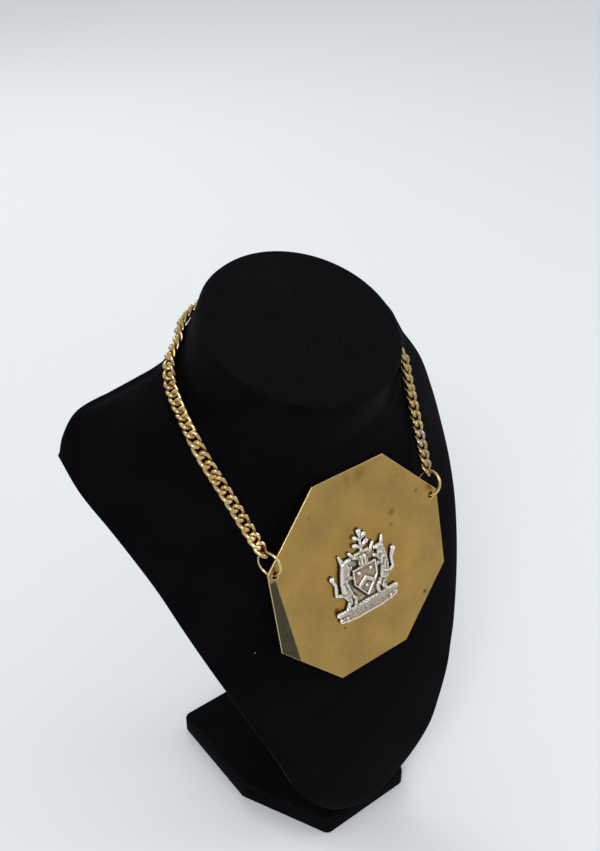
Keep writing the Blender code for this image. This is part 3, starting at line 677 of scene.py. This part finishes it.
# on the shield: border, then the chevron's half width, tip, slope and distance from the outline
shield_border, chevron_half, chevron_tip, chevron_slope, chevron_inset = 0.018, 0.026, -0.055, 0.75, 0.015
# the two upper studs and the lower one: across, up and radius
upper_studs, lower_stud = (0.075, 0.025, 0.020), (0.0, -0.145, 0.018)
# width of the outer rounding, and the least share of the height that it leaves
outer_round, least_edge = 0.008, 0.12
# a level place has this share of hollow, and each such depth below the mean round it, in metres, adds one
hollow_level, hollow_depth = 0.30, 0.0009


def limb_field(x, y, limbs):
    """For a grid of places, how far each lies inside the nearest limb and the limb's dome there. A limb
    is a row of balls; between two of them the radius runs straight, and the dome is a half circle."""
    inside = np.full(x.shape, -1.0)
    dome = np.zeros(x.shape)
    for limb in limbs:
        for (ax, ay, ar), (bx, by, br) in zip(limb, limb[1:]):
            dx, dy = bx - ax, by - ay
            along = np.clip(((x - ax) * dx + (y - ay) * dy) / max(dx * dx + dy * dy, 1e-9), 0, 1)
            radius = ar + (br - ar) * along
            away = np.hypot(x - ax - along * dx, y - ay - along * dy)
            inside = np.maximum(inside, radius - away)
            dome = np.maximum(dome, radius * np.sqrt(np.clip(1 - (away / radius) ** 2, 0, 1)))
    return inside, dome


def polygon_field(x, y, corners):
    """How far each place lies inside a convex outline that turns right: the least distance to a side."""
    corners = np.array(corners)
    inside = np.full(x.shape, 1.0)
    for (ax, ay), (bx, by) in zip(corners, np.roll(corners, -1, axis=0)):
        length = math.hypot(bx - ax, by - ay)
        inside = np.minimum(inside, -((x - ax) * (ay - by) + (y - ay) * (bx - ax)) / length)
    return inside


def scroll_field(x, y, scrolls):
    """Ridges of small scrolls: in each, a ridge stands where the distance from its middle keeps step with
    the way round it, and it fades out at the scroll's rim."""
    ridge = np.zeros(x.shape)
    for cx, cy, radius in scrolls:
        away, way = np.hypot(x - cx, y - cy), np.arctan2(y - cy, x - cx)
        wave = np.cos(away / radius * 2.2 * math.tau - way)
        ridge = np.maximum(ridge, np.clip(wave, 0, 1) * np.clip(1.25 - away / radius, 0, 1))
    return ridge


def arms_relief():
    """The relief's height over the plate on a grid of places, and how far each place lies inside it."""
    reach_x, reach_y = 0.46 * arms_height, 0.51 * arms_height
    across = np.arange(-reach_x, reach_x, arms_cell)
    up = np.arange(-reach_y, reach_y, arms_cell)
    x, y = np.meshgrid(across / arms_height, up / arms_height)
    mirrored = np.abs(x)
    slab = arms_slab / arms_height
    inside, dome = limb_field(x, y, arms_middle)
    side_inside, side_dome = limb_field(mirrored, y, arms_side)
    mound_inside, mound_dome = limb_field(mirrored, y, arms_mound)
    ribbon_inside, _ = limb_field(mirrored, y, arms_ribbon)
    shield_inside = polygon_field(x, y, arms_shield)
    web = np.array(arms_web)
    web_inside = np.interp(-y, -web[:, 1], web[:, 0], left=-1, right=-1) - mirrored
    # coats of the beasts in slanting tufts, bars down the helm, and leaves over the mound
    fur = fur_depth * np.sin(150 * (y + 0.55 * mirrored) + 7 * np.sin(38 * mirrored + 21 * y))
    in_helm = (y < bars_high) & (y > bars_low) & (mirrored < bars_half)
    bars = bar_depth * np.sign(np.sin(170 * x)) * in_helm
    leaves = leaf_depth * np.abs(np.sin(62 * mirrored + 9 * np.sin(45 * y)))
    leaves += vein_depth * np.sin(210 * (mirrored - y))
    scrolls = scroll_depth * scroll_field(mirrored, y, arms_scrolls)
    height = np.where(web_inside > 0, arms_web_relief / arms_height + scrolls, 0)
    for field, crown, chased in (
        (side_inside, side_dome, fur * np.clip(side_dome / 0.03, 0, 1)),
        (mound_inside, 0.55 * mound_dome, leaves),
        (inside, dome, bars),
    ):
        height = np.where(field > 0, np.maximum(height, slab + arms_fullness * crown + chased), height)
    # the ribbon is flat with a raised edge along both sides and a fold near each end
    fold = fold_rise * (np.abs(mirrored - fold_place) < fold_half)
    ribbon = slab + ribbon_rise + ribbon_edge_rise * (ribbon_inside < ribbon_edge) + fold
    height = np.where(ribbon_inside > 0, np.maximum(height * (mound_inside > 0), ribbon), height)
    # the shield has a raised border, a sunk field, a chevron and three studs
    chevron = np.abs(y - chevron_tip + chevron_slope * mirrored) < chevron_half
    raised = chevron & (shield_inside > chevron_inset)
    for stud_x, stud_y, radius in (upper_studs, lower_stud):
        raised |= np.hypot(mirrored - stud_x, y - stud_y) < radius
    field = slab + shield_rise * (1.0 + (shield_inside < shield_border) + raised)
    height = np.where(shield_inside > 0, np.maximum(field, height * (inside > 0)), height)
    for field in (side_inside, mound_inside, ribbon_inside, shield_inside, web_inside):
        inside = np.maximum(inside, field)
    # every outer edge rounds off
    edge = np.clip(inside / outer_round, 0, 1)
    height *= np.sqrt(np.clip(1 - (1 - edge) ** 2, least_edge, 1))
    return across, up, height * arms_height, inside * arms_height


def smoothed(grid, times_over):
    """Each place takes the mean of itself and its four neighbours, many times over."""
    for _ in range(times_over):
        padded = np.pad(grid, 1, mode="edge")
        beside = padded[:-2, 1:-1] + padded[2:, 1:-1] + padded[1:-1, :-2] + padded[1:-1, 2:]
        grid = (grid + beside) / 5
    return grid


def arms_mesh():
    """The relief's places inside the outline, whose border places slide out to it, over a flat back. The
    share of each place that lies low among its neighbours goes to the material as hollow."""
    across, up, height, inside = arms_relief()
    soft = smoothed(height, 2)
    hollow = np.clip((smoothed(soft, 30) - soft) / hollow_depth + hollow_level, 0, 1)
    down_y, down_x = np.gradient(inside, arms_cell)
    kept = inside > 0
    cell = kept[:-1, :-1] & kept[1:, :-1] & kept[:-1, 1:] & kept[1:, 1:]
    touched = np.zeros(kept.shape, bool)
    around = np.zeros(kept.shape, int)
    for row, column in ((0, 0), (1, 0), (0, 1), (1, 1)):
        window = (slice(row, row + cell.shape[0]), slice(column, column + cell.shape[1]))
        touched[window] |= cell
        around[window] += cell
    border = touched & (around < 4)
    x, y = np.meshgrid(across, up)
    steep = np.maximum(np.hypot(down_x, down_y), 0.5)
    slide = np.where(border, np.minimum(inside, 1.3 * arms_cell), 0) / steep
    x, y = x - down_x / steep * slide, y - down_y / steep * slide
    number = np.full(kept.shape, -1)
    number[touched] = np.arange(touched.sum())
    total = int(touched.sum())
    top = np.stack([x[touched], y[touched], soft[touched]], axis=1)
    low = top * (1, 1, 0)
    a, b, c, d = number[:-1, :-1][cell], number[:-1, 1:][cell], number[1:, 1:][cell], number[1:, :-1][cell]
    faces = [np.stack([a, b, c, d], axis=1), np.stack([d, c, b, a], axis=1) + total]
    filled = np.pad(cell, 1)
    for neighbour, near, far in (
        (filled[:-2, 1:-1], number[:-1, :-1], number[:-1, 1:]),
        (filled[1:-1, 2:], number[:-1, 1:], number[1:, 1:]),
        (filled[2:, 1:-1], number[1:, 1:], number[1:, :-1]),
        (filled[1:-1, :-2], number[1:, :-1], number[:-1, :-1]),
    ):
        near, far = near[cell & ~neighbour], far[cell & ~neighbour]
        faces.append(np.stack([near, near + total, far + total, far], axis=1))
    stand = plate_thickness / 2 + gap / 3
    local = np.vstack([top, low]) + (0, -arms_drop, stand)
    mesh = bpy.data.meshes.new("silver_arms")
    mesh.from_pydata(on_plate(local).tolist(), [], np.vstack(faces).tolist())
    add_mask(mesh, "hollow", np.concatenate([hollow[touched], np.ones(total)]))
    mesh.shade_smooth()
    mesh.set_sharp_from_angle(angle=math.radians(75))
    return mesh


arms_silver, tree, shader = new_material("arms_silver", Metallic=1.0)
place = node(tree, "ShaderNodeTexCoord").outputs["Object"]
hollow = node(tree, "ShaderNodeAttribute", attribute_name="hollow").outputs["Fac"]
patches = ramp(tree, noise(tree, place, 420.0, 3.0), 0.35, 0.65)
dull = mix(tree, patches, (0.27, 0.195, 0.125, 1), (0.43, 0.34, 0.235, 1))
silver = mix(tree, ramp(tree, hollow, 0.0, 0.32), (0.80, 0.775, 0.72, 1), dull)
silver = mix(tree, ramp(tree, hollow, 0.34, 0.62), silver, (0.055, 0.038, 0.025, 1))
cast_grain = noise(tree, place, 2600.0, 4.0, 0.6)
finish_with(tree, shader, silver, cast_grain, 0.35, 0.0001, ramp(tree, hollow, 0.1, 0.8, 0.16, 0.5))
arms = placed("silver_arms", arms_mesh())
arms.data.materials.append(arms_silver)
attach(arms, "root")
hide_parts("coat_of_arms")


# The two rings
# Plain round rings of gilt wire. Each goes through one of the plate's holes and through the chain's last
# link on its side, and was bent closed once it hung there.

ring_radius = 0.0129 / 2
ring_wire = 0.0016
# name, the solid it replaces, hole, pull from the hole to the chain, and direction of the ring's face
rings = (
    ("ring_wire_left", "ring_left", hole_places[0], (-0.12, 0.50, 0.86), (0.946, 0.318, -0.058)),
    ("ring_wire_right", "ring_right", hole_places[1], (0.24, 0.52, 0.82), (0.874, 0.222, -0.432)),
)
chain_gilt, tree, shader = new_material("chain_gilt", Metallic=1.0)
gilding = node(tree, "ShaderNodeGroup", {
    "Place": node(tree, "ShaderNodeTexCoord").outputs["Object"],
    "Gold": (0.74, 0.56, 0.285, 1),
    "Thin Gold": (0.46, 0.325, 0.140, 1),
    "Pit": (0.10, 0.05, 0.02, 1),
    "Cloud Scale": 90.0,
    "Mottle Scale": 600.0,
    "Pits": 0.5,
}, node_tree=old_gilding).outputs
painted_shade = node(tree, "ShaderNodeAttribute", attribute_name="painted_shade").outputs["Fac"]
silvered = node(tree, "ShaderNodeAttribute", attribute_name="silvered").outputs["Fac"]
# painted shade: links near the right ring and behind the neck are painted darker and browner for the shade
# they lie in
colour = mix(tree, times(tree, painted_shade, 0.72), gilding["Colour"], (0.32, 0.215, 0.085, 1))
colour = mix(tree, silvered, colour, (0.36, 0.325, 0.30, 1))
# wire is drawn smoother than the sheet
finish_with(tree, shader, colour, gilding["Height"], 0.2, 0.00005, times(tree, gilding["Roughness"], 0.5))

chain_ends = []
for name, replaced, hole, pull, face in rings:
    pull = np.array(pull) / np.linalg.norm(pull)
    face = np.array(face) - pull * np.dot(face, pull)
    face /= np.linalg.norm(face)
    middle = on_plate(np.array([*hole, 0.0])) + pull * ring_radius
    aside = np.cross(face, pull)
    around = np.linspace(0, 2 * math.pi, 96, endpoint=False)[:, None, None]
    section = np.linspace(0, 2 * math.pi, 20, endpoint=False)[None, :, None]
    spoke = np.cos(around) * pull + np.sin(around) * aside
    reach = ring_radius + ring_wire / 2 * np.cos(section)
    rows = middle + spoke * reach + ring_wire / 2 * np.sin(section) * face
    ring = shell(name, rows[:, ::-1], chain_gilt, round_rows=True)
    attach(ring, "root")
    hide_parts(replaced)
    chain_ends.append((middle, pull, aside))
left_ring, right_ring = chain_ends


# The chain
# A curb chain of gilt brass wire. Each oval link is twisted so that the links lie flat in one another,
# and both faces of the finished chain were filed, which leaves a bright flat on every crest.

link_width = 0.0072
link_wire = 0.0023
link_pitch = 0.0053
link_bite = 0.00012
link_twist = 0.00118
link_flat = 0.0021
joints_turned = 6
# points of the route from each chosen one to the next, and how many on either side even out the way out
route_steps, mean_reach = 24, 12
# the directions that the links near the left and the right ring face, and over how many links they turn
looks = (((-0.15, -0.76, 0.63), 20), ((-0.20, -0.76, 0.62), 14))
# the right half from the ring to the middle of the neck's back
chain_route = np.array([
    (0.0546, -0.0357, 0.2211),
    (0.0585, -0.0231, 0.2379),
    (0.0628, -0.0108, 0.2548),
    (0.0647, -0.0045, 0.2641),
    (0.0626, 0.0074, 0.2689),
    (0.0608, 0.0143, 0.2704),
    (0.0592, 0.0203, 0.2727),
    (0.0560, 0.0300, 0.2765),
    (0.0505, 0.0384, 0.2840),
    (0.0440, 0.0425, 0.2880),
    (0.0370, 0.0465, 0.2905),
    (0.0240, 0.0515, 0.2930),
    (0.0000, 0.0550, 0.2940),
])
# one link near the right ring has lost its gold, and how deep the painted shade on the others is, by the
# share of the way from the right ring to the left one
bare_link_place = (0.0555, -0.0310, 0.2298)
shade_ways, shade_shares = (0.0, 0.60, 0.70, 0.82), (1.0, 0.9, 0.4, 0.0)


def chain_joints():
    """The hooking points of the links and the way out from the bust there. The chain follows its route
    from ring to ring, and where it would sink into the bust it is lifted to lie on it. Joints are equal
    steps along it. Near the rings the links turn from the bust's way out to the way that they face."""
    tree = BVHTree.FromPolygons([v.co for v in bust.data.vertices], [p.vertices for p in bust.data.polygons])
    reach = ring_radius - ring_wire / 2 - link_bite / 2 - gap
    left_end, right_end = (middle + pull * reach for middle, pull, _ in chain_ends)
    route = np.vstack([right_end, chain_route, chain_route[-2::-1] * (-1, 1, 1), left_end])
    line = through(route, route_steps)
    lift = link_twist + link_wire / 2 + gap
    ways_out = np.empty_like(line)
    for index, point in enumerate(line):
        near, normal, _, distance = tree.find_nearest(Vector(point))
        height = math.copysign(distance, (Vector(point) - near).dot(normal))
        line[index] = near + normal * lift if height < lift else point
        ways_out[index] = normal
    window = np.ones(2 * mean_reach + 1) / (2 * mean_reach + 1)
    padded = np.pad(ways_out, ((mean_reach, mean_reach), (0, 0)), mode="edge")
    ways_out = np.stack([np.convolve(padded[:, axis], window, mode="valid") for axis in range(3)], axis=1)
    run = np.append(0, np.cumsum(np.linalg.norm(np.diff(line, axis=0), axis=1)))
    marks = np.linspace(0, run[-1], round(run[-1] / link_pitch) + 1)
    joints = np.stack([np.interp(marks, run, line[:, axis]) for axis in range(3)], axis=1)
    normals = np.stack([np.interp(marks, run, ways_out[:, axis]) for axis in range(3)], axis=1)
    normals /= np.linalg.norm(normals, axis=1, keepdims=True)
    ends = ((normals[::-1], left_ring, looks[0]), (normals, right_ring, looks[1]))
    for row, (_, _, wire), (look, count) in ends:
        wire = wire * np.sign(wire @ row[0])
        number = np.arange(count)[:, None]
        turned = np.clip(1 - number / joints_turned, 0, 1)
        row[:count] += (1 - number / count) * (turned * wire + (1 - turned) * np.array(look) - row[:count])
    return joints, normals


def chain_points(joints, normals, steps, sides):
    """All links as one array of link, step, side and axis. A link's wire follows an oval that rises and
    dips twice on its way round. Its round section is cut off flat above and below, as a file leaves it."""
    near, far = joints[:-1], joints[1:]
    pitch = np.linalg.norm(far - near, axis=1, keepdims=True)
    along = (far - near) / pitch
    aside = np.cross(normals[:-1] + normals[1:], along)
    aside /= np.linalg.norm(aside, axis=1, keepdims=True)
    up = np.cross(along, aside)
    turn = np.linspace(0, 2 * math.pi, steps, endpoint=False)
    reach = (pitch + link_wire - link_bite) / 2
    spread = (link_width - link_wire) / 2
    local = np.stack([np.cos(turn), spread * np.sin(turn), -link_twist * np.sin(2 * turn)], axis=1)
    local = np.repeat(local[None], len(near), axis=0)
    local[:, :, 0] *= reach
    tangent = np.roll(local, -1, axis=1) - np.roll(local, 1, axis=1)
    tangent /= np.linalg.norm(tangent, axis=2, keepdims=True)
    out = np.cross(tangent, (0, 0, 1))
    out /= np.linalg.norm(out, axis=2, keepdims=True)
    rise = np.cross(out, tangent)
    section = np.linspace(0, 2 * math.pi, sides, endpoint=False)[None, None, :, None]
    round_wire = np.cos(section) * out[:, :, None] + np.sin(section) * rise[:, :, None]
    local = local[:, :, None] + link_wire / 2 * round_wire
    local[..., 2] = np.clip(local[..., 2], -link_flat, link_flat)
    axes = np.stack([along, aside, up], axis=1)
    return (near + far)[:, None, None] / 2 + np.einsum("lsvi,lij->lsvj", local, axes)


joints, normals = chain_joints()
points = chain_points(joints, normals, steps=44, sides=16)
links, steps, sides = points.shape[:3]
link_points = steps * sides
faces = grid_faces(steps, sides, round_rows=True)[None] + np.arange(links)[:, None, None] * link_points
mesh = bpy.data.meshes.new("curb_chain")
mesh.from_pydata(points.reshape(-1, 3).tolist(), [], faces.reshape(-1, 4).tolist())
bare_link = np.argmin(np.linalg.norm((joints[:-1] + joints[1:]) / 2 - bare_link_place, axis=1))
add_mask(mesh, "silvered", np.repeat(np.where(np.arange(links) == bare_link, 0.8, 0.0), link_points))
# painted shade share of each link
add_mask(mesh, "painted_shade", np.repeat(np.interp(np.arange(links) / links, shade_ways, shade_shares), link_points))
mesh.materials.append(chain_gilt)
mesh.shade_smooth()
mesh.set_sharp_from_angle(angle=math.radians(35))
chain = placed("curb_chain", mesh)
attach(chain, "root")
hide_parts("chain")


# The studio
# A plain floor of pale paper that reaches past the picture, soft light from three large panels and a pale
# sky, and the camera at the photograph's angle and distance.

floor_mesh = bpy.data.meshes.new("floor")
floor_mesh.from_pydata([(-8, -6, 0), (8, -6, 0), (8, 10, 0), (-8, 10, 0)], [], [(0, 1, 2, 3)])
floor = placed("floor", floor_mesh)
paper, tree, shader = new_material("pale_paper", Roughness=0.9, Specular_IOR_Level=0.1)
tooth = noise(tree, node(tree, "ShaderNodeTexCoord").outputs["Object"], 3.0, 2.0)
tone = mix(tree, tooth, (0.770, 0.787, 0.792, 1), (0.785, 0.800, 0.805, 1))
tree.links.new(tone, shader.inputs["Base Color"])
floor_mesh.materials.append(paper)

world = bpy.data.worlds.new("studio")
world.use_nodes = True
world.node_tree.nodes["Background"].inputs["Color"].default_value = (0.93, 0.965, 1.0, 1)
world.node_tree.nodes["Background"].inputs["Strength"].default_value = 0.79
bpy.context.scene.world = world
# each light's name, place, the point it faces, size and power
for name, place, target, size, power in (
    ("key_panel", (-0.9, -0.7, 1.3), (0, 0, 0.18), 0.55, 7.6),
    ("fill_panel", (1.3, -0.9, 0.9), (0, 0, 0.18), 0.8, 4.0),
    ("back_panel", (0.3, 1.4, 1.2), (0, 0, 0.2), 0.8, 5.5),
):
    lamp = bpy.data.lights.new(name, "AREA")
    lamp.size = size
    lamp.energy = power
    light = placed(name, lamp)
    light.location = place
    light.rotation_euler = (Vector(target) - Vector(place)).to_track_quat("-Z", "Y").to_euler()

azimuth, elevation, distance = math.radians(-37.559), math.radians(34.371), 0.5158
target = Vector((0, 0, 0.2442))
level = math.cos(elevation)
back = Vector((math.sin(azimuth) * level, -math.cos(azimuth) * level, math.sin(elevation)))
lens = bpy.data.cameras.new("camera")
lens.lens, lens.sensor_width = 42.84, 36.0
lens.clip_start = 0.01
camera = placed("camera", lens)
camera.location = target + back * distance
camera.rotation_euler = (-back).to_track_quat("-Z", "Y").to_euler()
bpy.context.scene.camera = camera
bpy.context.scene.view_settings.view_transform = "Standard"
